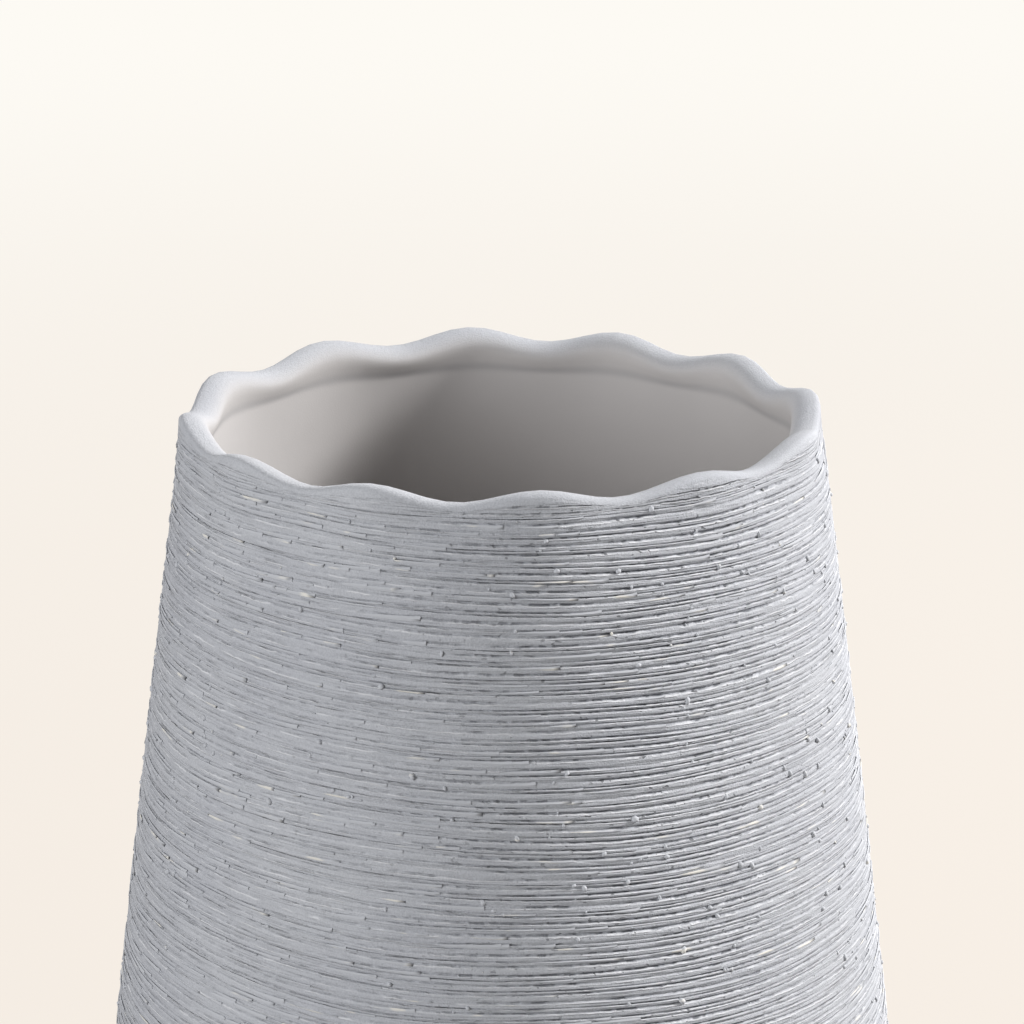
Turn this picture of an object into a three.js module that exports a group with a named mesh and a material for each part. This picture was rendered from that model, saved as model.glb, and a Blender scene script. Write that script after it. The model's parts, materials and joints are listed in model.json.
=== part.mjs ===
// A tapered ceramic vase with a scalloped rim, standing on four stick-on pads.
// Millimetres, +Z up. The origin is the middle of the base, on the surface that the vase stands on.
// The vase is seen from -Y, so angles round it start at -Y and grow towards +X.
import * as THREE from "three";

// Overall shape of the cast body
const HEIGHT = 230; // mean level of the rim's edge above the surface
const MOUTH_WALL_RADIUS = 46; // outside of the wall, carried straight up to the rim's level
const BELLY_RADIUS = 70.4; // outside of the wall where it turns under
const WALL_BOW_RADIUS = 6600; // between the two the wall bows outwards a little, on this radius
const WALL_THICKNESS = 4;
const TURN_HEIGHT = 29; // height above the foot at which the wall turns under
const FLOOR_THICKNESS = 5;
const INSIDE_TURN_HEIGHT = 25; // height above the floor at which the inside turns into the floor

// Lip: rounded over outside, with a small bead inside
const EDGE_RADIUS = 45.1; // the rim's highest line
const LIP_HEIGHT = 1.1; // how far down the outside is rounded over
const BEAD_WIDTH = 3.2; // the bead stands this far inside the rim's highest line
const BEAD_DROP = 2.2; // depth of the bead's innermost line
const BEAD_HEIGHT = 6; // depth at which the bead has run out into the inner wall

// Scallops: a wave that lifts the rim's edge and leans it out a little
const SCALLOP_COUNT = 12;
const SCALLOP_LIFT = 1; // half of the edge's rise from trough to crest
const SCALLOP_LEAN_WIDTH = 0.45; // half of its swing in and out
const SCALLOP_DEPTH = 11; // how far down the wall the wave fades away
const FIRST_CREST = THREE.MathUtils.degToRad(7.5); // place of the crest nearest to -Y
const SCALLOP_DRIFT = THREE.MathUtils.degToRad(1); // the hand-cut crests stray this far once round the rim
const SCALLOP_SWAY = THREE.MathUtils.degToRad(1.2); // and this far twice round it

// Foot ring under the body, and the pads stuck to it
const FOOT_RING_WIDTH = 13;
const FOOT_RECESS = 1.5; // the middle of the underside is hollowed by this much
const PAD_COUNT = 4;
const PAD_DIAMETER = 10;
const PAD_THICKNESS = 2;
const PAD_EDGE = 0.5; // bevel round the pad's contact face

// Fineness of the faceted solids
const SEGMENTS_PER_SCALLOP = 8;
const WALL_ROWS = 7;
const CORNER_ROWS = 6;
const FADE_ROWS = 3;
const LIP_ROWS = 4;
const PAD_SEGMENTS = 32;

const FOOT_Z = PAD_THICKNESS;
const UNDERSIDE_Z = FOOT_Z + FOOT_RECESS;
const FLOOR_Z = UNDERSIDE_Z + FLOOR_THICKNESS;
const WALL_LENGTH = HEIGHT - FOOT_Z - TURN_HEIGHT; // from the rim's level down to where the wall turns under
const WALL_TAPER = (BELLY_RADIUS - MOUTH_WALL_RADIUS) / WALL_LENGTH;

// Radius of the plain outer wall at a height
function wallRadius(z) {
  const depth = HEIGHT - z;
  const bow = (depth * (WALL_LENGTH - depth)) / (2 * WALL_BOW_RADIUS);
  return MOUTH_WALL_RADIUS + WALL_TAPER * depth + bow;
}

// Angle of the wall from upright at a height, in radians
function wallLean(z) {
  return Math.atan(WALL_TAPER + (WALL_LENGTH - 2 * (HEIGHT - z)) / (2 * WALL_BOW_RADIUS));
}

// Evenly spaced numbers from first to last, both included
function spread(first, last, steps) {
  return Array.from({ length: steps + 1 }, (_, i) => first + ((last - first) * i) / steps);
}

// Points up a wall, a set distance inside the outer one
function wallPoints(inset, from, to, rows) {
  return spread(from, to, rows).map((z) => new THREE.Vector2(wallRadius(z) - inset, z));
}

// Arc that rolls from a level floor up into the wall; it ends tangent to the wall at turnHeight above the floor
function cornerPoints(inset, floorZ, turnHeight) {
  const top = floorZ + turnHeight;
  const lean = wallLean(top);
  const radius = turnHeight / (1 + Math.sin(lean));
  const middle = wallRadius(top) - inset - radius * Math.cos(lean);
  return spread(-Math.PI / 2, lean, CORNER_ROWS).map(
    (angle) => new THREE.Vector2(middle + radius * Math.cos(angle), floorZ + radius * (1 + Math.sin(angle))),
  );
}

// Quarter of an ellipse about a centre, between two angles
function ellipsePoints(centre, width, height, from, to) {
  return spread(from, to, LIP_ROWS).map(
    (angle) => new THREE.Vector2(centre.x + width * Math.cos(angle), centre.y + height * Math.sin(angle)),
  );
}

const outerCorner = cornerPoints(0, FOOT_Z, TURN_HEIGHT);
const innerCorner = cornerPoints(WALL_THICKNESS, FLOOR_Z, INSIDE_TURN_HEIGHT);
const FOOT_RADIUS = outerCorner[0].x; // outer edge of the flat foot ring
const RING_INNER_RADIUS = FOOT_RADIUS - FOOT_RING_WIDTH;

// Half section of the body, from the axis under the base, up the outside, over the lip and down to the floor
function bodySection() {
  const lipZ = HEIGHT - LIP_HEIGHT;
  const fadeZ = HEIGHT - SCALLOP_DEPTH;
  const beadZ = HEIGHT - BEAD_DROP;
  const outerTurnZ = outerCorner.at(-1).y;
  const innerTurnZ = innerCorner.at(-1).y;
  const underside = [
    new THREE.Vector2(0, UNDERSIDE_Z),
    new THREE.Vector2(RING_INNER_RADIUS - FOOT_RECESS, UNDERSIDE_Z),
    new THREE.Vector2(RING_INNER_RADIUS, FOOT_Z),
  ];
  const outside = [
    ...outerCorner,
    ...wallPoints(0, outerTurnZ, fadeZ, WALL_ROWS).slice(1),
    ...wallPoints(0, fadeZ, lipZ, FADE_ROWS).slice(1),
  ];
  const lipWidth = wallRadius(lipZ) - EDGE_RADIUS;
  const lip = [
    ...ellipsePoints(new THREE.Vector2(EDGE_RADIUS, lipZ), lipWidth, LIP_HEIGHT, 0, Math.PI / 2).slice(1),
    ...ellipsePoints(new THREE.Vector2(EDGE_RADIUS, beadZ), BEAD_WIDTH, BEAD_DROP, Math.PI / 2, Math.PI).slice(1),
  ];
  const inside = [
    ...wallPoints(WALL_THICKNESS, HEIGHT - BEAD_HEIGHT, fadeZ, FADE_ROWS),
    ...wallPoints(WALL_THICKNESS, fadeZ, innerTurnZ, WALL_ROWS).slice(1),
    ...innerCorner.toReversed().slice(1),
    new THREE.Vector2(0, FLOOR_Z),
  ];
  return [...underside, ...outside, ...lip, ...inside];
}

// Height of the scallop wave at an angle round the vase, from -1 in a trough to 1 on a crest
function scallopWave(angle) {
  const turn = angle - FIRST_CREST;
  const stray = SCALLOP_DRIFT * Math.sin(turn) + SCALLOP_SWAY * Math.cos(2 * turn);
  return Math.cos(SCALLOP_COUNT * (turn + stray));
}

// A section turned round the Z axis, closed at the seam
function revolve(section, segments) {
  return new THREE.LatheGeometry(section, segments).rotateX(Math.PI / 2);
}

// Bends the rim into its scallops; the wave is full at the edge and fades down both faces of the wall
function scallopRim(geometry) {
  const position = geometry.getAttribute("position");
  const point = new THREE.Vector3();
  for (let i = 0; i < position.count; i++) {
    point.fromBufferAttribute(position, i);
    const radius = Math.hypot(point.x, point.y);
    const share = THREE.MathUtils.smoothstep(point.z, HEIGHT - SCALLOP_DEPTH, HEIGHT);
    if (share === 0 || radius === 0) continue;
    const wave = share * scallopWave(Math.atan2(point.x, -point.y));
    const grown = 1 + (SCALLOP_LEAN_WIDTH * wave) / radius;
    position.setXYZ(i, point.x * grown, point.y * grown, point.z + SCALLOP_LIFT * wave);
  }
  return geometry;
}

const ceramic = new THREE.MeshStandardMaterial({ color: 0xa3a6ab, roughness: 0.85, metalness: 0 });
const softPad = new THREE.MeshStandardMaterial({ color: 0xd8d8d4, roughness: 0.5, metalness: 0 });

function vaseBody() {
  const geometry = scallopRim(revolve(bodySection(), SCALLOP_COUNT * SEGMENTS_PER_SCALLOP));
  const mesh = new THREE.Mesh(geometry, ceramic);
  mesh.name = "vase_body";
  return mesh;
}

// One pad, bevelled where it meets the surface, with its top face against the foot ring
function footPad(index) {
  const radius = PAD_DIAMETER / 2;
  const section = [
    new THREE.Vector2(0, 0),
    new THREE.Vector2(radius - PAD_EDGE, 0),
    new THREE.Vector2(radius, PAD_EDGE),
    new THREE.Vector2(radius, PAD_THICKNESS),
    new THREE.Vector2(0, PAD_THICKNESS),
  ];
  const mesh = new THREE.Mesh(revolve(section, PAD_SEGMENTS), softPad);
  const angle = (2 * Math.PI * (index + 0.5)) / PAD_COUNT;
  const seat = FOOT_RADIUS - FOOT_RING_WIDTH / 2;
  mesh.position.set(seat * Math.sin(angle), -seat * Math.cos(angle), 0);
  mesh.name = `foot_pad_${index + 1}`;
  return mesh;
}

const vase = new THREE.Group();
vase.add(vaseBody());
for (let index = 0; index < PAD_COUNT; index++) vase.add(footPad(index));

export default vase;
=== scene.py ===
# %% [markdown]
# # A brushed ceramic vase
#
# The vase is one cast body with a wavy rim. While its coat of slip was still wet, a stiff brush was held
# against the turning wall, and left fine level lines with torn ridges and crumbs. The rim was then
# wiped smooth with a sponge. This lesson builds that body from its half section, rolls the brush marks
# onto it, and gives it a matte clay finish. Four soft pads keep it off the table.

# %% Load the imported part
import json
import math

import bpy
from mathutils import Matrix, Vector

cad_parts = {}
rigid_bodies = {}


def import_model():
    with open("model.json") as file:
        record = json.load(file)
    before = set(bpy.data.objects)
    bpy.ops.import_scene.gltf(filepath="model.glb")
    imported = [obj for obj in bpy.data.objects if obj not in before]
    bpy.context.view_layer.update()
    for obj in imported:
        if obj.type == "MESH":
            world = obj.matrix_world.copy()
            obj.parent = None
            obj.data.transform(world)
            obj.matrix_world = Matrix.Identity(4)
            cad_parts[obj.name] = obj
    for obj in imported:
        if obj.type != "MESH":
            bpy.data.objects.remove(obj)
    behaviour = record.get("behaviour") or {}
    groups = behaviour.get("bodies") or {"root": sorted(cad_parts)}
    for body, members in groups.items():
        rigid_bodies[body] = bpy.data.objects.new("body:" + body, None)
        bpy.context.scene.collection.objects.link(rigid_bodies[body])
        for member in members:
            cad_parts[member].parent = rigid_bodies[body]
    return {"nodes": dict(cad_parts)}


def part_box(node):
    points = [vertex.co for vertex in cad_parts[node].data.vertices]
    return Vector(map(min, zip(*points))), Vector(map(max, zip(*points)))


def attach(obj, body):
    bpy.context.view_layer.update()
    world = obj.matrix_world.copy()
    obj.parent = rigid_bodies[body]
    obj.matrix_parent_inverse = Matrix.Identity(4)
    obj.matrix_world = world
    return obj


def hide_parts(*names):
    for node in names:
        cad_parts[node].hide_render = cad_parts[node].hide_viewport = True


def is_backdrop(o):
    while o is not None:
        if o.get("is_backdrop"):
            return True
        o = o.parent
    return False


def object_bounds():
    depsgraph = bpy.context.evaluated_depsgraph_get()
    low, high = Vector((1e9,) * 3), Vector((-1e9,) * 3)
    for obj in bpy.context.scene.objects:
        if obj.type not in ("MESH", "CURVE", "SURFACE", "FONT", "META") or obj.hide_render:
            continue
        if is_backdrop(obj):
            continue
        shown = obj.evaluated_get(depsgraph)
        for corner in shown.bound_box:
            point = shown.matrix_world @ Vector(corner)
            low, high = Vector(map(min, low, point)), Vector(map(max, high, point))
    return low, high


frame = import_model()
cad_low, cad_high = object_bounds()
print("CAD box, mm:", [round(1000 * (h - l), 1) for l, h in zip(cad_low, cad_high)])

# %% [markdown]
# ## Camera
#
# The photograph looks down on the rim from a little above, through a long lens. The lens and the height
# were found by matching the rim's ellipse and the slope of the wall. The camera is set first, because
# every later choice of size and light is judged through it.

# %% Camera
RIM_HEIGHT = 0.230  # mean level of the rim's edge
SENSOR_WIDTH = 36.0
FOCAL_LENGTH = 123.05
CAMERA_BACK = 0.4881  # from the vase's axis, towards -Y
CAMERA_ABOVE_RIM = 0.1323
CAMERA_PITCH = math.radians(16.85)  # below level
CAMERA_YAW = math.radians(0.177)  # towards +X


def linked(name, data):
    """A new object in the scene."""
    made = bpy.data.objects.new(name, data)
    bpy.context.scene.collection.objects.link(made)
    return made


camera_data = bpy.data.cameras.new("camera")
camera_data.sensor_width = SENSOR_WIDTH
camera_data.lens = FOCAL_LENGTH
camera = linked("camera", camera_data)
camera.location = (0, -CAMERA_BACK, RIM_HEIGHT + CAMERA_ABOVE_RIM)
camera.rotation_euler = (math.pi / 2 - CAMERA_PITCH, 0, -CAMERA_YAW)
bpy.context.scene.camera = camera
bpy.context.scene.view_settings.view_transform = "Standard"
print("camera at", [round(x, 3) for x in camera.location])

# %% [markdown]
# ## Writing node trees as sums
#
# Shader trees and geometry trees use the same Math, Vector Math and Noise nodes. One small class wraps a
# socket, so that a sum written in Python adds the Math nodes for it, and one method adds every other
# node. The same helpers can then draw the brush lines in the mesh and again, finer, in the finish.


# %% A socket that can be used in sums
def enabled(sockets, key):
    """The socket of that name or number among those that the node's settings leave in use."""
    usable = [s for s in sockets if s.enabled]
    return usable[key] if isinstance(key, int) else next(s for s in usable if s.name == key)


class Wire:
    """An output socket that can be used in sums."""

    def __init__(self, nodes, socket):
        self.nodes = nodes
        self.socket = socket

    def math(self, operation, *others):
        return self.nodes.math(operation, self, *others)

    def out(self, key):
        """Another output of the same node."""
        return Wire(self.nodes, enabled(self.socket.node.outputs, key))

    def __add__(self, other):
        return self.math("ADD", other)

    __radd__ = __add__

    def __mul__(self, other):
        return self.math("MULTIPLY", other)

    __rmul__ = __mul__

    def __sub__(self, other):
        return self.math("SUBTRACT", other)

    def __rsub__(self, other):
        return self.nodes.math("SUBTRACT", other, self)

    def __truediv__(self, other):
        return self.math("DIVIDE", other)

    def __rtruediv__(self, other):
        return self.nodes.math("DIVIDE", other, self)

    def __abs__(self):
        return self.math("ABSOLUTE")


print("sums are written with", Wire.__name__)


# %% Adding nodes to a tree
class Nodes:
    """Adds nodes to a tree: settings are set first, then socket values or links."""

    def __init__(self, tree):
        self.tree = tree

    def add(self, kind, settings=None, inputs=None):
        node = self.tree.nodes.new(kind)
        for name, value in (settings or {}).items():
            setattr(node, name, value)
        for key, value in (inputs or {}).items():
            socket = enabled(node.inputs, key)
            if isinstance(value, Wire):
                self.tree.links.new(value.socket, socket)
            else:
                socket.default_value = value
        shown = [s for s in node.outputs if s.enabled]
        return Wire(self, shown[0]) if shown else node

    def math(self, operation, *values):
        return self.add("ShaderNodeMath", {"operation": operation}, dict(enumerate(values)))

    def vector(self, operation, *values):
        return self.add("ShaderNodeVectorMath", {"operation": operation}, dict(enumerate(values)))

    def parts(self, vector):
        split = self.add("ShaderNodeSeparateXYZ", inputs={0: vector})
        return split, split.out("Y"), split.out("Z")

    def join(self, x, y, z):
        return self.add("ShaderNodeCombineXYZ", inputs={0: x, 1: y, 2: z})

    def ramp(self, value, start, end, low=0.0, high=1.0):
        """Eases from low to high as value goes from start to end."""
        settings = {"interpolation_type": "SMOOTHSTEP"}
        inputs = {0: value, 1: start, 2: end, 3: low, 4: high}
        return self.add("ShaderNodeMapRange", settings, inputs)

    def near(self, value, middle, inner, outer):
        """One where value lies within inner of the middle, easing to zero at outer."""
        return self.ramp(abs(value - middle), inner, outer, 1.0, 0.0)

    def chance(self, low, high, seed):
        """A random number for each point."""
        inputs = {"Min": low, "Max": high, "Seed": seed}
        return self.add("FunctionNodeRandomValue", {"data_type": "FLOAT"}, inputs)

    def noise(self, vector, detail=0.0):
        inputs = {"Vector": vector, "Scale": 1.0, "Detail": detail, "Roughness": 0.5}
        return self.add("ShaderNodeTexNoise", inputs=inputs)

    def patches(self, place, scale, detail):
        """Noise whose patches number about scale in a metre along X, Y and Z."""
        return self.noise(self.vector("MULTIPLY", place, scale), detail)


print("nodes are added with", Nodes.__name__)

# %% [markdown]
# ## The half section
#
# A vase is turned or cast round one axis, so its whole shape is one half section: under the foot, up
# the wall, over the lip and down the inside. Evenly spaced points would do for the form, but a narrow
# groove would fall between them. Here the section has a few points for each bristle of the brush: its
# groove, and below that the burr of clay that it pushed up. Each point carries marks for its finish, and
# its place counted in bristle lines, which the later steps read.

# %% Sizes of the body, in metres
MOUTH_WALL_RADIUS = 0.046
BELLY_RADIUS = 0.0704
WALL_BOW_RADIUS = 6.6
WALL_THICKNESS = 0.004
TURN_HEIGHT = 0.029
FLOOR_THICKNESS = 0.005
FOOT_RECESS = 0.0015

foot_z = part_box("vase_body")[0].z
underside_z = foot_z + FOOT_RECESS
floor_z = underside_z + FLOOR_THICKNESS
wall_length = RIM_HEIGHT - foot_z - TURN_HEIGHT
wall_taper = (BELLY_RADIUS - MOUTH_WALL_RADIUS) / wall_length


def wall_radius(z):
    depth = RIM_HEIGHT - z
    bow = depth * (wall_length - depth) / (2 * WALL_BOW_RADIUS)
    return MOUTH_WALL_RADIUS + wall_taper * depth + bow


def wall_lean(z):
    return math.atan(wall_taper + (wall_length - 2 * (RIM_HEIGHT - z)) / (2 * WALL_BOW_RADIUS))


print("foot at", round(foot_z, 4), "wall", round(wall_length, 4), "long")

# %% Curves of the section
INSIDE_TURN_HEIGHT = 0.025
CORNER_ROWS = 36
INSIDE_CORNER_ROWS = 14


def spread(first, last, steps):
    return [first + (last - first) * i / steps for i in range(steps + 1)]


def corner(inset, bottom, turn_height, steps):
    """Arc that rolls from a level floor into the wall."""
    top = bottom + turn_height
    lean = wall_lean(top)
    radius = turn_height / (1 + math.sin(lean))
    middle = wall_radius(top) - inset - radius * math.cos(lean)
    angles = spread(-math.pi / 2, lean, steps)
    return [(middle + radius * math.cos(a), bottom + radius * (1 + math.sin(a))) for a in angles]


def oval(centre, width, height, start, end, steps, power=2.0):
    """Part of an ellipse; a higher power than two makes it squarer."""
    def bent(value):
        return math.copysign(abs(value) ** (2 / power), value)
    points = []
    for a in spread(start, end, steps):
        points.append((centre[0] + width * bent(math.cos(a)), centre[1] + height * bent(math.sin(a))))
    return points


outer_corner = corner(0, foot_z, TURN_HEIGHT, CORNER_ROWS)
inner_corner = corner(WALL_THICKNESS, floor_z, INSIDE_TURN_HEIGHT, INSIDE_CORNER_ROWS)
wall_bottom = outer_corner[-1][1]
print("the wall turns under at", round(wall_bottom, 4))

# %% Bristle lines up the wall
LIP_HEIGHT = 0.0011
SMOOTH_LIP = 0.0004  # the sponged band, below the mean rim
BRUSH_START = 0.001  # over which the brush lines begin
LINE_PITCH = 0.00082  # mean distance from one bristle line to the next
BURR_PLACE = 0.28  # of a line's burr, as a share of the pitch
LINE_PROFILE = ((BURR_PLACE, 0.4), (0.47, -1.0), (0.79, 0.02))  # place in the line, push outwards
SPACING_WAVES = ((2.4, 0.0, 0.2), (1.13, 2.0, 0.15))  # turn for each line, start, shift in pitches

lip_z = RIM_HEIGHT - LIP_HEIGHT
line_top = min(RIM_HEIGHT - SMOOTH_LIP - BRUSH_START, lip_z)
line_count = math.floor((line_top - wall_bottom) / LINE_PITCH)


def sine(value):
    return value.math("SINE") if isinstance(value, Wire) else math.sin(value)


def line_height(line):
    """Height of a place counted in bristle lines up the wall, which are unevenly spaced."""
    uneven = sum(sine(line * turn + start) * shift for turn, start, shift in SPACING_WAVES)
    return (line + uneven) * LINE_PITCH + wall_bottom


def paced(points, line):
    """The points with their place in bristle lines, counted along the surface from the first one's."""
    rows = [(*points[0], line)]
    for point in points[1:]:
        line += math.dist(point, rows[-1][:2]) / LINE_PITCH
        rows.append((*point, line))
    return rows


print(line_count, "bristle lines")

# %% Outside rows, as (radius, height, brush, inside, foot, line, press)
FOOT_RING_WIDTH = 0.013
FOOT_EDGE = FOOT_RECESS / 3  # softening of the ring's edges
BOX_MARGIN = 1e-6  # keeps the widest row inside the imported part's box
LINE_MARK = 5  # where a row holds its place in bristle lines


def under_foot():
    """The hollowed underside and the inner edge of the foot ring, in bare clay."""
    ring = outer_corner[0][0] - FOOT_RING_WIDTH
    points = [(0, underside_z), (ring - FOOT_RECESS - FOOT_EDGE, underside_z)]
    points += [(ring - FOOT_RECESS, underside_z - FOOT_EDGE / 3)]
    points += [(ring - FOOT_EDGE, foot_z + FOOT_EDGE / 3), (ring, foot_z)]
    return [(r, z, 0, 0, 1, 0, 0) for r, z in points]


def brushed_wall():
    """The rolled corner, and up the wall a few rows for each bristle line."""
    rows = []
    around = paced(outer_corner, 0.0)
    for r, z, line in around:
        foot = 1 if z < foot_z + FOOT_EDGE / 3 else 0
        widest = min(r, cad_high[0] - BOX_MARGIN)
        rows.append((widest, z, 1 - foot, 0, foot, line - around[-1][2], 0))
    for line in range(line_count):
        for place, press in LINE_PROFILE:
            z = line_height(line + place)
            if wall_bottom < z < line_top:
                rows.append((wall_radius(z), z, 1, 0, 0, line + place, press))
    return rows


outside_rows = under_foot() + brushed_wall()
print(len(outside_rows), "rows up the outside")

# %% Lip and inside rows
EDGE_RADIUS = 0.0451  # the rim's highest line
LIP_POWER = 2.3  # the sponge left the outer edge of the lip a little squarer than an ellipse
BEAD_WIDTH = 0.0032
BEAD_DROP = 0.0022
BEAD_HEIGHT = 0.006
LIP_ROWS = 10
BEAD_ROWS = 8
INSIDE_ROWS = 24


def sponged_lip(last):
    """Over the lip; the brush lines go on from the last row of the wall, and fade out."""
    width = wall_radius(lip_z) - EDGE_RADIUS
    over = oval((EDGE_RADIUS, lip_z), width, LIP_HEIGHT, 0, math.pi / 2, LIP_ROWS, LIP_POWER)
    rows = []
    for r, z, line in paced([last[:2]] + over, last[LINE_MARK])[1:]:
        brush = min(max((RIM_HEIGHT - SMOOTH_LIP - z) / BRUSH_START, 0), 1)
        rows.append((r, z, brush, 0, 0, line, 0))
    return rows


def bead_and_inside(line):
    """Down over the bead, where the inside's finish begins, and on to the middle of the floor."""
    bead_z = RIM_HEIGHT - BEAD_DROP
    bead = oval((EDGE_RADIUS, bead_z), BEAD_WIDTH, BEAD_DROP, math.pi / 2, math.pi, LIP_ROWS)
    rows = [(r, z, 0, i / (2 * LIP_ROWS), 0, line, 0) for i, (r, z) in enumerate(bead)][1:]
    bead_radius = bead[-1][0]
    wall_z = RIM_HEIGHT - BEAD_HEIGHT
    for share in spread(0, 1, BEAD_ROWS)[1:-1]:
        eased = share * share * (3 - 2 * share)
        r = bead_radius + (wall_radius(wall_z) - WALL_THICKNESS - bead_radius) * eased
        rows.append((r, bead_z + (wall_z - bead_z) * share, 0, 0.5 + share / 2, 0, line, 0))
    heights = spread(wall_z, inner_corner[-1][1], INSIDE_ROWS)
    down = [(wall_radius(z) - WALL_THICKNESS, z) for z in heights]
    down += inner_corner[-2::-1] + [(0, floor_z)]
    return rows + [(r, z, 0, 1, 0, line, 0) for r, z in down]


lip_rows = sponged_lip(outside_rows[-1])
body_rows = outside_rows + lip_rows + bead_and_inside(lip_rows[-1][LINE_MARK])
print(len(body_rows), "rows in the whole section")

# %% [markdown]
# ## Turning the section
#
# The section is turned by Geometry Nodes. A flat grid has one column for each step round the axis and
# one row for each point of the section. Every grid point looks up its row in the section and moves to
# its place round the axis, and the seam and the two poles are merged. The Screw modifier could turn the
# section too, but the tree also carries the marks along by name, and it turns the pads as well.

# %% Helpers for geometry trees
FINISH_MARKS = ("brush", "inside", "foot", "line", "press")


def new_tree(name, sockets):
    """An empty geometry tree with the named inputs, and the wires of its inputs."""
    tree = bpy.data.node_groups.new(name, "GeometryNodeTree")
    tree.interface.new_socket("Geometry", in_out="OUTPUT", socket_type="NodeSocketGeometry")
    for socket_name, kind in sockets.items():
        tree.interface.new_socket(socket_name, in_out="INPUT", socket_type="NodeSocket" + kind)
    nodes = Nodes(tree)
    inputs = nodes.add("NodeGroupInput")
    return tree, nodes, {socket_name: inputs.out(socket_name) for socket_name in sockets}


def named(n, mark):
    """A mark that the mesh carries."""
    return n.add("GeometryNodeInputNamedAttribute", {"data_type": "FLOAT"}, {"Name": mark})


def stored(n, geometry, mark, value, kind="FLOAT", domain="POINT"):
    """The geometry with a value kept on it as a mark."""
    settings = {"data_type": kind, "domain": domain}
    inputs = {"Geometry": geometry, "Name": mark, "Value": value}
    return n.add("GeometryNodeStoreNamedAttribute", settings, inputs)


def put(n, geometry, place):
    """The geometry with its points moved to a place."""
    return n.add("GeometryNodeSetPosition", inputs={"Geometry": geometry, "Position": place})


def finish_tree(n, geometry, material, smooth=None):
    """Ends a tree with plain geometry in one material; smooth, where given, sets its shading."""
    if smooth is not None:
        shading = {"Geometry": geometry, "Shade Smooth": smooth}
        geometry = n.add("GeometryNodeSetShadeSmooth", inputs=shading)
    plain = n.add("GeometryNodeRealizeInstances", inputs={"Geometry": geometry})
    coated = n.add("GeometryNodeSetMaterial", inputs={"Geometry": plain, "Material": material})
    n.add("NodeGroupOutput", inputs={"Geometry": coated})


print("marks of the section:", ", ".join(FINISH_MARKS))

# %% A tree that turns a section into a closed solid
SEAM = 1e-5  # points nearer to each other than this are merged


def turned_tree():
    sockets = {"Section": "Geometry", "Columns": "Int", "Centre": "Vector", "Material": "Material"}
    tree, n, given = new_tree("turned solid", sockets)
    section = given["Section"]
    size = n.add("GeometryNodeAttributeDomainSize", {"component": "MESH"}, {"Geometry": section})
    counts = {"Vertices X": given["Columns"] + 1, "Vertices Y": size}
    grid = n.add("GeometryNodeMeshGrid", inputs={"Size X": 1.0, "Size Y": 1.0, **counts})
    here = n.add("GeometryNodeInputPosition")
    x, y, _ = n.parts(here)
    row = (y + 0.5) * (size - 1) + 0.5
    angle = (x + 0.5) * (2 * math.pi)

    def looked_up(value, kind):
        settings = {"data_type": kind, "domain": "POINT"}
        inputs = {"Geometry": section, "Value": value, "Index": row}
        return n.add("GeometryNodeSampleIndex", settings, inputs)

    marked = grid
    for mark in FINISH_MARKS:
        marked = stored(n, marked, mark, looked_up(named(n, mark), "FLOAT"))
    radius, _, height = n.parts(looked_up(here, "FLOAT_VECTOR"))
    round_axis = n.join(radius * angle.math("SINE"), radius * angle.math("COSINE") * -1, height)
    placed = put(n, marked, n.vector("ADD", round_axis, given["Centre"]))
    closed = n.add("GeometryNodeMergeByDistance", inputs={"Geometry": placed, "Distance": SEAM})
    finish_tree(n, closed, given["Material"], True)
    return tree


turned = turned_tree()
print("tree:", turned.name)


# %% Running trees on an object
def section_object(name, rows):
    """A line of points in the XZ plane, with the finish marks of each."""
    points = [(row[0], 0, row[1]) for row in rows]
    edges = [(i, i + 1) for i in range(len(rows) - 1)]
    mesh = bpy.data.meshes.new(name)
    mesh.from_pydata(points, edges, [])
    for place, mark in enumerate(FINISH_MARKS, start=2):
        values = mesh.attributes.new(mark, "FLOAT", "POINT").data
        values.foreach_set("value", [row[place] for row in rows])
    return linked(name, mesh)


def settle(host, steps):
    """Runs geometry trees on an object in turn, and keeps the result as its own plain mesh."""
    for tree, values in steps:
        modifier = host.modifiers.new(tree.name, "NODES")
        modifier.node_group = tree
        for item in tree.interface.items_tree:
            if item.in_out == "INPUT" and item.name in values:
                modifier[item.identifier] = values[item.name]
    bpy.context.view_layer.update()
    graph = bpy.context.evaluated_depsgraph_get()
    done = host.evaluated_get(graph)
    mesh = bpy.data.meshes.new_from_object(done, preserve_all_data_layers=True, depsgraph=graph)
    host.modifiers.clear()
    host.data = mesh


def triangles(piece):
    return sum(len(p.vertices) - 2 for p in piece.data.polygons)


print("trees are run by", settle.__name__)

# %% [markdown]
# ## Rules for the brush strokes
#
# A brush held against a turning wall leaves a line for each bristle. The wheel wasn't quite level with
# the brush, so the lines lie a little askew and waver. Each bristle pressed now harder and now lighter,
# and all of them harder towards +X. Two rules say this: how far a line wanders from its height, and how
# hard it was pressed. They could be drawn anew for each step, but as functions they serve the mesh, the
# torn ridges and the finish alike, so that all their lines agree.

# %% The rules for brush strokes
STROKE_TILT = 0.026  # fall of the lines for each metre towards +X
STROKE_WAVER = 0.0006  # how far a line wanders up and down
WAVER_SIZE = (0.03, 0.03, 0.008)
LEVEL_BAND = 0.007  # below the lip, over which the lines come level with it
FIRM_FROM = (-0.021, 0.021)  # the brush pressed harder towards +X, growing between these two places
FIRM_TO = (0.027, 0.046)  # and easing again between these
LIGHT_PRESS = 0.28  # strength on the light side
EASED_PRESS = 0.32  # strength where it has eased again
STRENGTH_LENGTH = 0.006  # along a line, over which its strength changes
STRENGTH_NOISE = (0.33, 0.55)  # the noise at which a line is weakest, and at which it is full
WEAKEST_LINE = 0.2
LINE_STEP = 3.7  # from one line to the next in the noise, so that each has its own


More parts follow.
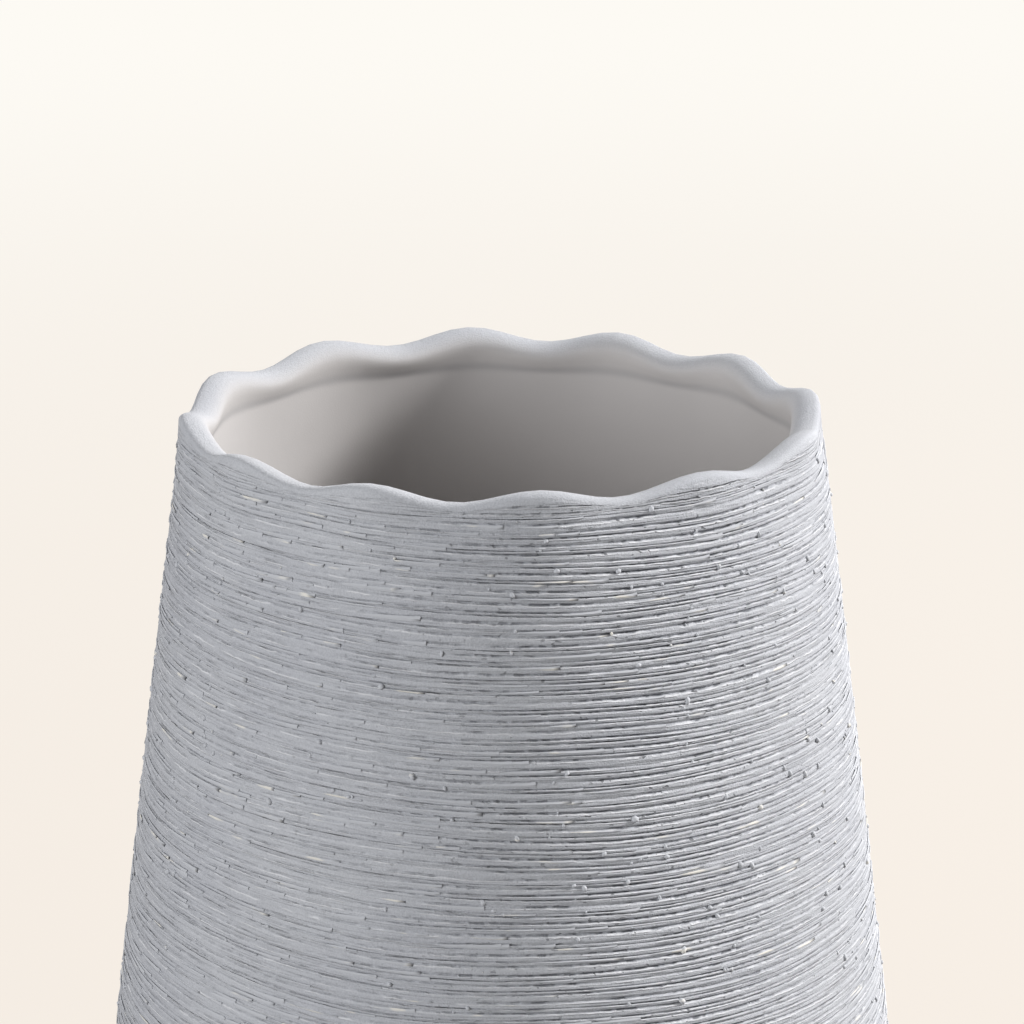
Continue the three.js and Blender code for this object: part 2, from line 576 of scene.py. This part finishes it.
def wander(n, x, y, z):
    """How far a bristle line at this place lies above its own height."""
    waver = n.noise(n.vector("DIVIDE", n.join(x, y, z), WAVER_SIZE)) - 0.5
    top = RIM_HEIGHT - SMOOTH_LIP
    free = n.ramp(z, top, top - LEVEL_BAND) * n.ramp(z, wall_bottom, wall_bottom + 2 * LEVEL_BAND)
    return (waver * (2 * STROKE_WAVER) - x * STROKE_TILT) * free


def line_strength(n, x, y, line):
    """How hard a line's bristle pressed here, from zero to one."""
    own = line.math("FLOOR") * LINE_STEP
    uneven = n.noise(n.join(x / STRENGTH_LENGTH, y / STRENGTH_LENGTH, own))
    firm = n.ramp(x, *FIRM_FROM, LIGHT_PRESS, 1.0) * n.ramp(x, *FIRM_TO, 1.0, EASED_PRESS)
    return n.ramp(uneven, *STRENGTH_NOISE, WEAKEST_LINE, 1.0) * firm


def strokes(n, lines, kind, detail=0.0):
    """Noise of finer strokes, from their length, their pitch and their place in the noise."""
    length, pitch, place = kind
    stretched = n.vector("MULTIPLY", lines, (1 / length, 1 / length, 1 / pitch))
    return n.noise(n.vector("ADD", stretched, (place, place, place)), detail)


print("lines wander up to", round(1000 * STROKE_WAVER, 2), "mm")

# %% [markdown]
# ## Grooves
#
# The bristle lines are pressed into the wall: every row of the mesh follows its line round the vase, so
# that even a narrow groove stays whole. Displacement in the finish could draw them too, but the exported
# mesh would then be smooth. The rows at a groove's bottom and upper edge are marked as sharp edges, so
# that the shading doesn't round them off.

# %% Tree for the grooves
GROOVE_DEPTH = 0.00037
FIRST_LINES = 0.0015  # the topmost lines are shallow
CRISP_FROM = 0.4  # share of the full depth from which a groove's edges are crisp
SAME_PUSH = 0.01  # rows whose pushes differ by less are of one kind


def groove_tree():
    sockets = {"Geometry": "Geometry", "Groove depth": "Float", "Material": "Material"}
    tree, n, given = new_tree("brushed grooves", sockets)
    x, y, z = n.parts(n.add("GeometryNodeInputPosition"))
    radius = n.vector("LENGTH", n.join(x, y, 0.0))
    height = z + wander(n, x, y, z) * named(n, "brush")
    clear = n.ramp(z, wall_bottom, wall_bottom + LEVEL_BAND)
    clear = clear * n.ramp(z, line_top, line_top - FIRST_LINES)
    press = named(n, "press")
    push = press * line_strength(n, x, y, named(n, "line")) * clear * given["Groove depth"]
    grown = (radius + wall_radius(height) - wall_radius(z) + push) / radius
    cut = put(n, given["Geometry"], n.join(x * grown, y * grown, height))
    _, (_, bottom_push), (_, edge_push) = LINE_PROFILE
    crisp = press.math("COMPARE", bottom_push, SAME_PUSH) + press.math("COMPARE", edge_push, SAME_PUSH)
    crisp = crisp * clear.math("GREATER_THAN", CRISP_FROM)
    creased = stored(n, cut, "sharp_edge", crisp, "BOOLEAN", "EDGE")
    finish_tree(n, creased, given["Material"])
    return tree


grooves = groove_tree()
print("tree:", grooves.name)

# %% [markdown]
# ## Scallops
#
# The rim's edge was cut into twelve waves by hand, so the crests stray a little from even spacing. The
# wave lifts the edge and leans it out, and dies away down the wall. Outside, the brush lines stay level
# under the waving lip, and inside, the foot of the bead stays level too, so each face has its own depth.
# A lattice could bend the rim, but one rule in a tree bends the body and the marks on it alike.

# %% Tree for the scallops
SCALLOP_COUNT = 12
FIRST_CREST = math.radians(7.5)
scallop_values = {
    "Lift": 0.001,  # half of the edge's rise from trough to crest
    "Lean": 0.00045,  # half of its swing in and out
    "Lean depth": 0.011,  # below the rim, where the lean has died away
    "Brushed depth": 0.003,  # the same for the lift, on the brushed wall
    "Bead depth": 0.007,  # and on the bead
    "Drift": math.radians(1),  # how far the crests stray once round the rim
    "Sway": math.radians(1.2),  # and twice round it
}


def scallop_tree():
    sockets = {"Geometry": "Geometry", **{name: "Float" for name in scallop_values}}
    tree, n, given = new_tree("scalloped rim", {**sockets, "Material": "Material"})
    x, y, z = n.parts(n.add("GeometryNodeInputPosition"))
    angle = n.math("ARCTAN2", x, y * -1)
    turn = angle - FIRST_CREST
    stray = turn.math("SINE") * given["Drift"] + (turn * 2).math("COSINE") * given["Sway"]
    wave = ((turn + stray) * SCALLOP_COUNT).math("COSINE")
    brush = named(n, "brush")
    depth = given["Bead depth"] + (given["Brushed depth"] - given["Bead depth"]) * brush
    lift = wave * n.ramp(z, RIM_HEIGHT - depth, RIM_HEIGHT) * given["Lift"]
    lean = wave * n.ramp(z, RIM_HEIGHT - given["Lean depth"], RIM_HEIGHT) * given["Lean"]
    offset = n.join(angle.math("SINE") * lean, angle.math("COSINE") * lean * -1, lift)
    level = named(n, "line") + lift * brush / LINE_PITCH
    marked = stored(n, given["Geometry"], "line", level)
    bent = n.add("GeometryNodeSetPosition", inputs={"Geometry": marked, "Offset": offset})
    finish_tree(n, bent, given["Material"])
    return tree


scallops = scallop_tree()
print("tree:", scallops.name)

# %% [markdown]
# ## Finish of the clay
#
# The coat is matte slip: a bluish light grey, rough, with no shine. It is pale on the burrs, and broken
# by pits where crumbs were torn out; the grooves, scratches and pits are darkened by painted shade.
# Inside the lip the slip thins out and the warmer clay shows, with a band of painted shade under the
# bead. The foot ring is bare clay. One material holds them all, led by the marks of the section. It
# could be painted as an image, but nodes stay sharp at any distance.


# %% Colours
def linear(red, green, blue):
    """A colour written as it looks on screen, 0 to 255, as Blender's linear values."""
    def channel(value):
        share = value / 255
        return share / 12.92 if share <= 0.04045 else ((share + 0.055) / 1.055) ** 2.4
    return (channel(red), channel(green), channel(blue), 1.0)


SLIP = linear(187, 189, 195)
SLIP_PALE = linear(193, 195, 200)
# a darker slip: the grain's own tone, and painted shade in the grooves, the scratches and under the bead
SLIP_DARK_AND_SHADE = linear(116, 118, 124)
SLIP_BURR = linear(220, 221, 225)
# dark colour of the painted shade in the pits and on the torn tips of ridges
PIT_AND_TIP_SHADE = linear(92, 93, 97)
INNER_CLAY = linear(186, 183, 182)
BARE_CLAY = linear(205, 196, 182)
CREAM_CLAY = linear(227, 224, 217)
print("slip, linear:", [round(x, 3) for x in SLIP[:3]])

# %% Helpers for materials
MILLIMETRE = 0.001


def new_material(name, specular):
    """A material, its nodes, its shader and the place on the piece that is being coloured."""
    material = bpy.data.materials.new(name)
    material.use_nodes = True
    shader = material.node_tree.nodes["Principled BSDF"]
    shader.inputs["Specular IOR Level"].default_value = specular
    nodes = Nodes(material.node_tree)
    return material, nodes, shader, nodes.add("ShaderNodeTexCoord").out("Object")


def connect(n, wire, shader, name):
    n.tree.links.new(wire.socket, shader.inputs[name])


def raise_surface(n, shader, height, strength=1.0):
    """Raises the surface by a height in millimetres, as bump."""
    inputs = {"Strength": strength, "Distance": MILLIMETRE, "Height": height}
    connect(n, n.add("ShaderNodeBump", inputs=inputs), shader, "Normal")


def mixed(n, factor, first, second):
    settings = {"data_type": "RGBA", "clamp_factor": True}
    return n.add("ShaderNodeMix", settings, {"Factor": factor, "A": first, "B": second})


def attribute(n, name):
    return n.add("ShaderNodeAttribute", {"attribute_name": name}).out("Fac")


print("bump is measured in", MILLIMETRE, "m")

# %% What the brush left in the finish
RAGGED_SCALE = (700, 700, 900)  # frays the edges of the lines
RAGGED_EDGE = 0.7  # of the brushed band, under the lip
RAGGED_LINE = 0.3  # in shares of the pitch
GROOVE_PLACE = 0.5  # middle of a line's dark groove, as a share of the pitch
GROOVE_REACH = (0.02, 0.16)  # to either side, where it is full and where it ends
BURR_REACH = (0.0, 0.17)
# Strokes, as their length, their pitch and their place in the noise
BREAKS = (0.0014, 0.0005, 3.1)  # in a groove
DRAGS = (0.0045, 0.0006, 13.3)  # of burrs along light lines
SCRATCHES = (0.016, 0.0006, 5.9)
FINE_LINES = (0.005, 0.00028, 7.3)
PITS = (0.0008, 0.00034, 11.7)
# The noise at which a stroke begins, and at which it is full
WHOLE_NOISE = (0.4, 0.56)
DRAG_NOISE = (0.48, 0.62)
PIT_NOISE = (0.75, 0.8)
BRUSH_NOISE = (0.3, 0.7)
BREAK_LEFT = 0.2  # what a break leaves of its groove
DRAG_MOST = 0.8
BURR_MOST = 1.35  # of a firm line, less what its groove takes where it is whole
SCRATCH_WIDTH = 0.06  # in the noise


def brush_marks(n, here):
    """The marks of the brush on the slip: zero where there is none, and about one where it is full."""
    x, y, _ = n.parts(here)
    line = attribute(n, "line")
    lines = n.join(x, y, line * LINE_PITCH)
    ragged = n.patches(here, RAGGED_SCALE, detail=1.0) - 0.5
    brush = n.ramp(attribute(n, "brush") + ragged * RAGGED_EDGE, *BRUSH_NOISE)
    place = (line + ragged * RAGGED_LINE).math("FRACT")
    strength = line_strength(n, x, y, line)
    whole = n.ramp(strokes(n, lines, BREAKS, detail=1.0), *WHOLE_NOISE, BREAK_LEFT, 1.0)
    dragged = n.ramp(strokes(n, lines, DRAGS), *DRAG_NOISE, 0.0, DRAG_MOST)
    pushed = (strength * (BURR_MOST - whole)).math("MAXIMUM", dragged)
    return {
        "brush": brush,
        "groove": n.near(place, GROOVE_PLACE, *GROOVE_REACH) * strength * whole,
        "burr": n.near(place, BURR_PLACE, *BURR_REACH) * pushed,
        "scratch": n.near(strokes(n, lines, SCRATCHES), 0.5, 0.0, SCRATCH_WIDTH),
        "fine": strokes(n, lines, FINE_LINES, detail=1.0),
        "pit": n.ramp(strokes(n, lines, PITS), *PIT_NOISE) * brush * strength,
    }


print("grooves break every", 1000 * BREAKS[0], "mm or so")

# %% Colour of the slip
CLOUD_NOISE = (0.3, 0.7)  # from the plain slip to the pale
GRAIN_NOISE = (0.6, 0.4)  # from the top of the grain to its bottom
# painted shade in the grooves and the scratches, as shares of the darker slip
GROOVE_SHADE_TONE = 0.95
SCRATCH_SHADE_TONE = 0.12
GRAIN_TONE = 0.15
BURR_TONE = 1.2
# painted shade in the pits
PIT_SHADE_TONE = 0.8
# painted shade under the bead, where it overhangs the inner wall
BEAD_SHADE_TONE = 0.22
BEAD_SHADE_PLACE = 0.85  # the foot of the bead, in the inside mark
BEAD_SHADE_REACH = 0.15


def slip_tone(n, marks, cloud, grain, depth, inside):
    """Colour of the slip and its painted shade, with the clay where it is thin or bare."""
    brush = marks["brush"]
    # painted shade in the grooves and the scratches
    cut_shade = (marks["groove"] * GROOVE_SHADE_TONE + marks["scratch"] * SCRATCH_SHADE_TONE) * brush
    # painted shade under the bead
    bead_shade = n.near(depth, BEAD_SHADE_PLACE, 0.0, BEAD_SHADE_REACH) * BEAD_SHADE_TONE
    tone = mixed(n, n.ramp(cloud, *CLOUD_NOISE), SLIP, SLIP_PALE)
    tone = mixed(n, cut_shade + n.ramp(grain, *GRAIN_NOISE) * GRAIN_TONE, tone, SLIP_DARK_AND_SHADE)
    tone = mixed(n, marks["burr"] * brush * BURR_TONE, tone, SLIP_BURR)
    # painted shade in the pits
    tone = mixed(n, marks["pit"] * PIT_SHADE_TONE, tone, PIT_AND_TIP_SHADE)
    tone = mixed(n, inside, tone, INNER_CLAY)
    tone = mixed(n, bead_shade, tone, SLIP_DARK_AND_SHADE)
    return mixed(n, attribute(n, "foot"), tone, BARE_CLAY)


# the band of painted shade under the bead lies round this place
print("slip pools round", BEAD_SHADE_PLACE, "of the inside mark")

# %% The brushed slip
GRAIN_SCALE = (4200, 4200, 4200)
CLOUD_SCALE = (45, 45, 60)
BARE_INSIDE = (0.1, 0.6)  # over which the slip thins out, in the inside mark
SLIP_ROUGHNESS = 0.8
GRAIN_ROUGHNESS = 0.12  # added by the grain
# Heights and depths of the bump, in millimetres
FINE_RISE = 0.2
BURR_RISE = 0.12
GROOVE_CUT = 0.18
SCRATCH_CUT = 0.05
PIT_CUT = 0.09
LIP_GRAIN = 0.12
INSIDE_GRAIN = 0.015


def brushed_slip():
    material, n, shader, here = new_material("brushed_slip", specular=0.2)
    marks = brush_marks(n, here)
    grain = n.patches(here, GRAIN_SCALE, detail=2.0)
    cloud = n.patches(here, CLOUD_SCALE, detail=3.0)
    depth = attribute(n, "inside")
    inside = n.ramp(depth, *BARE_INSIDE)
    connect(n, slip_tone(n, marks, cloud, grain, depth, inside), shader, "Base Color")
    connect(n, SLIP_ROUGHNESS + grain * GRAIN_ROUGHNESS, shader, "Roughness")
    cut = marks["groove"] * GROOVE_CUT + marks["scratch"] * SCRATCH_CUT
    relief = marks["fine"] * FINE_RISE + marks["burr"] * BURR_RISE - cut
    rough = grain * (LIP_GRAIN - inside * (LIP_GRAIN - INSIDE_GRAIN))
    raise_surface(n, shader, relief * marks["brush"] - marks["pit"] * PIT_CUT + rough)
    return material


slip = brushed_slip()
print("finish:", slip.name)

# %% The body
COLUMNS = 108  # steps round the axis, nine for each scallop

vase = section_object("vase_body_brushed", body_rows)
body_steps = [
    (turned, {"Columns": COLUMNS, "Material": slip}),
    (grooves, {"Groove depth": GROOVE_DEPTH, "Material": slip}),
    (scallops, {**scallop_values, "Material": slip}),
]
settle(vase, body_steps)
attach(vase, "root")
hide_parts("vase_body")
print("body:", triangles(vase), "triangles")

# %% [markdown]
# ## Torn ridges and crumbs
#
# Where a bristle dragged the burr along, it tore it off: a ridge that starts thin and ends blunt, some
# of them with a torn tip darkened by painted shade. Crumbs of clay lie in patches, more of them where
# the brush pressed hard.
# Bump in the finish could hint at both, but real shapes catch the raking light and throw small shadows.
# There are thousands, so they are scattered as points on the wall laid out flat, each ridge on the burr
# of a bristle line, and the flat sheet is then rolled round the vase.

# %% A flat sheet that is rolled round the vase
ROLL_RADIUS = 0.058  # at which a length on the sheet is true
LOWEST_LINE = 9


def sheet_points(n, count, seed, place, rise):
    """Points on the bristle lines of the flat sheet: X along the brush, Y out, Z up."""
    turn = math.pi * ROLL_RADIUS
    line = n.chance(LOWEST_LINE, line_count - 1, seed + 1).math("ROUND") + place
    spot = n.join(n.chance(-turn, turn, seed), rise, line_height(line))
    return n.add("GeometryNodePoints", inputs={"Count": count, "Position": spot})


def rolled(n, geometry):
    """Rolls the sheet round the vase, along the wandering lines."""
    x, y, z = n.parts(n.add("GeometryNodeInputPosition"))
    angle = x / ROLL_RADIUS
    ahead = angle.math("SINE")
    aside = angle.math("COSINE") * -1
    radius = wall_radius(z)
    height = z + wander(n, ahead * radius, aside * radius, z)
    out = wall_radius(height) + y
    return put(n, geometry, n.join(ahead * out, aside * out, height))


print("the sheet is", round(2 * math.pi * ROLL_RADIUS, 3), "m long")

# %% Ridges
RIDGE_RISE = 0.00007  # of a ridge's middle above the plain wall
RIDGE_SIDES = 4
RIDGE_STEPS = 6
RIDGE_HOOK = 0.3  # how far the torn end bends aside, in half widths
RIDGE_SLANT = 0.02  # in radians
RIDGE_TIP = 0.02  # keeps the thin end from closing to a point
RIDGE_TAPER = 0.35  # the power by which the bar thickens
TORN_FROM = 0.75  # where the torn tip begins, on a bar from -1 to 1
# Least and most, as shares of the tree's inputs
RIDGE_LENGTHS = (0.22, 1.0)
RIDGE_WIDTHS = (0.5, 1.5)
RIDGE_HEIGHTS = (0.6, 1.0)


def ridge_bar(n):
    """A bar two long and two wide that starts thin, and ends blunt with a hooked, torn tip."""
    sizes = {"Vertices": RIDGE_SIDES, "Side Segments": RIDGE_STEPS, "Radius": 1.0, "Depth": 2.0}
    rod = n.add("GeometryNodeMeshCylinder", {"fill_type": "NGON"}, sizes)
    side, out, along = n.parts(n.add("GeometryNodeInputPosition"))
    torn = n.ramp(along, TORN_FROM, 1.0)
    taper = (along * 0.5 + (0.5 + RIDGE_TIP)).math("POWER", RIDGE_TAPER)
    place = n.join(along, out * taper, side * taper + torn * RIDGE_HOOK)
    return put(n, stored(n, rod, "torn", torn), place)


def ridges(n, given):
    """Points for the ridges, their bar, and each one's turn and size."""
    seed = given["Seed"]
    points = sheet_points(n, given["Count"], seed, BURR_PLACE, RIDGE_RISE)
    turn = n.join(0.0, n.chance(-RIDGE_SLANT, RIDGE_SLANT, seed + 4), 0.0)
    length = given["Length"] * n.chance(*RIDGE_LENGTHS, seed + 2)
    width = given["Width"] * n.chance(*RIDGE_WIDTHS, seed + 3)
    height = given["Height"] * n.chance(*RIDGE_HEIGHTS, seed + 5)
    return points, ridge_bar(n), turn, n.join(length, height, width)


print("a ridge has", RIDGE_SIDES, "sides and stays faceted, as torn clay does")

# %% Crumbs
CRUMB_GATHER = 0.011  # spacing of the places where crumbs gather
BARE_LIGHT = 0.54  # noise below which no crumbs lie, where the brush pressed lightly
BARE_FIRM = 0.46  # and where it pressed hard
CRUMB_SIZES = (0.5, 1.15)  # before they are raised to the power below, which makes large ones rare
CRUMB_POWER = 3.0
CRUMB_HEIGHTS = (0.8, 1.4)  # as shares of the size
CRUMB_TILT = 0.5  # in radians
CRUMB_TURN = 3.0


def crumbs(n, given):
    """Points for the crumbs, their ball, and each one's turn and size; most are small."""
    seed = given["Seed"]
    points = sheet_points(n, given["Count"], seed, n.chance(0.0, 1.0, seed + 6), 0.0)
    here = n.add("GeometryNodeInputPosition")
    gather = n.patches(here, (1 / CRUMB_GATHER,) * 3, detail=1.0)
    across = (n.parts(here)[0] / ROLL_RADIUS).math("SINE") * ROLL_RADIUS
    bare = gather.math("LESS_THAN", n.ramp(across, *FIRM_FROM, BARE_LIGHT, BARE_FIRM))
    picked = {"Geometry": points, "Selection": bare}
    kept = n.add("GeometryNodeDeleteGeometry", {"domain": "POINT"}, picked)
    ball = n.add("GeometryNodeMeshIcoSphere", inputs={"Radius": 1.0, "Subdivisions": 1})
    tilt = n.chance(-CRUMB_TILT, CRUMB_TILT, seed + 3)
    turn = n.join(tilt, n.chance(-CRUMB_TURN, CRUMB_TURN, seed + 4), 0.0)
    size = n.chance(*CRUMB_SIZES, seed + 2).math("POWER", CRUMB_POWER)
    tall = size * n.chance(*CRUMB_HEIGHTS, seed + 5)
    scale = n.join(given["Length"] * size, given["Height"] * tall, given["Width"] * size)
    return kept, ball, turn, scale


print("crumbs gather every", 1000 * CRUMB_GATHER, "mm or so")

# %% Finish of the torn clay
TORN_ROUGHNESS = 0.9
TORN_SCALE = (180, 180, 900)
CREAM_NOISE = (0.58, 0.7)  # from the slip's colour to that of the clay under it
TIP_SHADE_NOISE = (0.5, 0.65)  # from a pale torn tip to one darkened by painted shade
TORN_GRAIN = 0.012  # height in millimetres


def torn_clay():
    material, n, shader, here = new_material("torn_clay", specular=0.2)
    shader.inputs["Roughness"].default_value = TORN_ROUGHNESS
    patch = n.patches(here, TORN_SCALE, detail=2.0)
    grain = n.patches(here, GRAIN_SCALE, detail=2.0)
    tone = mixed(n, n.ramp(patch, *CREAM_NOISE), SLIP_PALE, CREAM_CLAY)
    # painted shade on the torn tips
    torn = attribute(n, "torn") * n.ramp(patch, *TIP_SHADE_NOISE)
    connect(n, mixed(n, torn, tone, PIT_AND_TIP_SHADE), shader, "Base Color")
    raise_surface(n, shader, grain * TORN_GRAIN)
    return material


clay = torn_clay()
print("finish:", clay.name)


# %% Ridges and crumbs on the wall
def marks_tree(name, scattered, smooth):
    """A tree that scatters marks on the flat sheet and rolls it round the vase."""
    sizes = {"Count": "Int", "Seed": "Int", "Length": "Float", "Width": "Float", "Height": "Float"}
    tree, n, given = new_tree(name, {"Geometry": "Geometry", **sizes, "Material": "Material"})
    points, mark, turn, scale = scattered(n, given)
    placed = {"Points": points, "Instance": mark, "Rotation": turn, "Scale": scale}
    copies = n.add("GeometryNodeInstanceOnPoints", inputs=placed)
    real = n.add("GeometryNodeRealizeInstances", inputs={"Geometry": copies})
    finish_tree(n, stored(n, rolled(n, real), "brush", 1.0), given["Material"], smooth)
    return tree


def lay_marks(tree, values):
    """Runs a tree of marks and the scallops' tree in clay, and puts the result on the part's body."""
    piece = linked(tree.name, bpy.data.meshes.new(tree.name))
    coat = {"Material": clay}
    settle(piece, [(tree, {**values, **coat}), (scallops, {**scallop_values, **coat})])
    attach(piece, "root")
    print(piece.name, triangles(piece), "triangles")


ridge_values = {"Count": 3600, "Seed": 11, "Length": 0.005, "Width": 0.00021, "Height": 0.00014}
crumb_values = {"Count": 4200, "Seed": 29, "Length": 0.00042, "Width": 0.0003, "Height": 0.00027}
lay_marks(marks_tree("brush_ridges", ridges, False), ridge_values)
lay_marks(marks_tree("clay_crumbs", crumbs, True), crumb_values)

# %% [markdown]
# ## Pads
#
# Stick-on pads are moulded discs of soft silicone with a rounded edge and a slightly dished face. A
# cylinder with a bevel would do for them too, but they are turned by the same tree as the body, from a
# section of their own.

# %% Finish and section of a pad
SILICONE = linear(206, 206, 202)
SILICONE_PALE = linear(224, 224, 221)
MOTTLE_SCALE = (700, 700, 700)
MOTTLE_RISE = 0.03  # in millimetres
PAD_ROUGHNESS = 0.42
MOTTLE_ROUGHNESS = 0.2  # added by the mottle
PAD_EDGE = 0.0005
PAD_DISH = 0.00012
DISH_FLAT = 0.55  # share of the pad's radius up to which the dish is level
DISH_END = 0.7  # and at which it has run out
PAD_EDGE_ROWS = 6


def soft_silicone():
    material, n, shader, here = new_material("soft_silicone", specular=0.4)
    mottle = n.patches(here, MOTTLE_SCALE, detail=3.0)
    connect(n, mixed(n, mottle, SILICONE, SILICONE_PALE), shader, "Base Color")
    connect(n, PAD_ROUGHNESS + mottle * MOTTLE_ROUGHNESS, shader, "Roughness")
    raise_surface(n, shader, mottle * MOTTLE_RISE, strength=0.6)
    return material


def pad_section(radius, thickness):
    """From the middle of the dished face, round the edge, to the middle of the stuck face."""
    edge_centre = (radius - PAD_EDGE, PAD_EDGE)
    edge = oval(edge_centre, PAD_EDGE, PAD_EDGE, -math.pi / 2, 0, PAD_EDGE_ROWS)
    points = [(0, PAD_DISH), (radius * DISH_FLAT, PAD_DISH), (radius * DISH_END, 0)] + edge
    points += [(radius, thickness - PAD_DISH), (radius - PAD_DISH, thickness), (0, thickness)]
    return [(r, z, 0, 0, 0, 0, 0) for r, z in points]


silicone = soft_silicone()
print("finish:", silicone.name)

# %% Pads
PAD_COLUMNS = 48

for node in sorted(name for name in frame["nodes"] if name.startswith("foot_pad")):
    low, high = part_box(node)
    middle = (low + high) / 2
    pad = section_object(node + "_moulded", pad_section((high.x - low.x) / 2, high.z - low.z))
    seat = (middle.x, middle.y, low.z)
    settle(pad, [(turned, {"Columns": PAD_COLUMNS, "Centre": seat, "Material": silicone})])
    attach(pad, "root")
    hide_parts(node)
    print(pad.name, triangles(pad), "triangles")

# %% [markdown]
# ## Floor and world
#
# The vase stands on a plain cream floor. A real sheet that pale throws much light back and flattens the
# brush lines. So the floor and the world show their cream to the camera whatever the light, and give
# only a little back to the vase. The floor still takes a soft shadow near the vase. Seen from below it
# is clear, so that the foot can be looked at.

# %% Floor
CREAM = linear(253, 250, 244)
CREAM_NEAR = linear(241, 233, 224)
NEAR_REACH = (0.2, 1.8)  # from the vase, over which one cream goes over into the other
FLOOR_SIZE = 12.0
FLOOR_GLOW = 0.88  # share of the floor's colour that the camera sees without shading, near the vase
SHADOW_REACH = (0.3, 1.2)  # from the vase, over which the shading goes
FLOOR_BOUNCE = linear(110, 108, 105)  # what the floor throws back at the vase


def seen_directly(n):
    """One for rays from the camera, or seen in gloss or through glass."""
    path = n.add("ShaderNodeLightPath")
    direct = path.math("MAXIMUM", path.out("Is Glossy Ray"))
    return direct.math("MAXIMUM", path.out("Is Transmission Ray"))


def blended(n, factor, first, second):
    return n.add("ShaderNodeMixShader", inputs={0: factor, 1: first, 2: second})


def cream_floor():
    material = bpy.data.materials.new("cream_floor")
    material.use_nodes = True
    material.node_tree.nodes.clear()
    n = Nodes(material.node_tree)
    away = n.vector("LENGTH", n.add("ShaderNodeTexCoord").out("Object"))
    cream = mixed(n, n.ramp(away, *NEAR_REACH), CREAM_NEAR, CREAM)
    matte = n.add("ShaderNodeBsdfDiffuse", inputs={"Color": cream})
    glow = n.add("ShaderNodeEmission", inputs={"Color": cream, "Strength": 1.0})
    shown = blended(n, n.ramp(away, *SHADOW_REACH, FLOOR_GLOW, 1.0), matte, glow)
    dim = n.add("ShaderNodeBsdfDiffuse", inputs={"Color": FLOOR_BOUNCE})
    above = blended(n, seen_directly(n), dim, shown)
    backs = n.add("ShaderNodeNewGeometry").out("Backfacing")
    one_sided = blended(n, backs, above, n.add("ShaderNodeBsdfTransparent"))
    n.add("ShaderNodeOutputMaterial", inputs={"Surface": one_sided})
    return material


half = FLOOR_SIZE / 2
floor_corners = [(-half, -half, 0), (half, -half, 0), (half, half, 0), (-half, half, 0)]
floor_mesh = bpy.data.meshes.new("floor")
floor_mesh.from_pydata(floor_corners, [], [(0, 1, 2, 3)])
floor_mesh.materials.append(cream_floor())
floor = linked("floor", floor_mesh)
floor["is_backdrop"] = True
print("floor", FLOOR_SIZE, "m across")

# %% World
AMBIENT = 0.09
WARM_WHITE = (1.0, 0.99, 0.975)

world = bpy.data.worlds.new("studio")
bpy.context.scene.world = world
world.use_nodes = True
world.node_tree.nodes.clear()
sky = Nodes(world.node_tree)
plain_cream = sky.add("ShaderNodeBackground", inputs={"Color": CREAM, "Strength": 1.0})
soft_light = {"Color": (*WARM_WHITE, 1.0), "Strength": AMBIENT}
lighting = sky.add("ShaderNodeBackground", inputs=soft_light)
surface = blended(sky, seen_directly(sky), lighting, plain_cream)
sky.add("ShaderNodeOutputWorld", inputs={"Surface": surface})
print("ambient light", AMBIENT)

# %% [markdown]
# ## Light
#
# A soft window to the right and a little behind rakes the front of the wall, which is what makes the
# brush lines show. A broad, weaker one to the left front fills the shadow. A third from behind, as from
# a pale backdrop, draws the thin bright line along the rim. A picture of a room could light the vase
# too, but three lamps are easier to place and to change.

# %% Windows of light
WINDOW_WHITE = (1.0, 0.99, 0.98)
SKY_WHITE = (0.985, 0.99, 1.0)


def window(name, azimuth, elevation, distance, size, power, colour):
    """An area lamp aimed at the rim; azimuth is from the camera's side towards +X, in degrees."""
    lamp = bpy.data.lights.new(name, "AREA")
    lamp.shape = "RECTANGLE"
    lamp.size = size[0]
    lamp.size_y = size[1]
    lamp.energy = power
    lamp.color = colour
    turn = math.radians(azimuth)
    rise = math.radians(elevation)
    level = math.cos(rise)
    away = Vector((math.sin(turn) * level, -math.cos(turn) * level, math.sin(rise)))
    stand = linked(name, lamp)
    stand.location = Vector((0, 0, RIM_HEIGHT)) + away * distance
    stand.rotation_euler = away.to_track_quat("Z", "Y").to_euler()
    stand.visible_camera = False
    print(name, "at", [round(x, 2) for x in stand.location])


right = {"azimuth": 97, "elevation": 27, "distance": 2.0, "size": (0.5, 0.5), "power": 67.0}
left = {"azimuth": -46, "elevation": 14, "distance": 2.0, "size": (1.6, 1.1), "power": 35.0}
behind = {"azimuth": 180, "elevation": 30, "distance": 1.5, "size": (1.6, 1.0), "power": 12.0}
window("window_right", **right, colour=WINDOW_WHITE)
window("window_left", **left, colour=SKY_WHITE)
window("backdrop", **behind, colour=WARM_WHITE)

# %% [markdown]
# ## Sizes and the end
#
# Both boxes, of the imported part and of the finished vase, are measured and printed.

# %% Sizes for the record, and the end
low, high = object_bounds()
print("visual box, mm:", [round(1000 * (h - l), 1) for l, h in zip(low, high)])
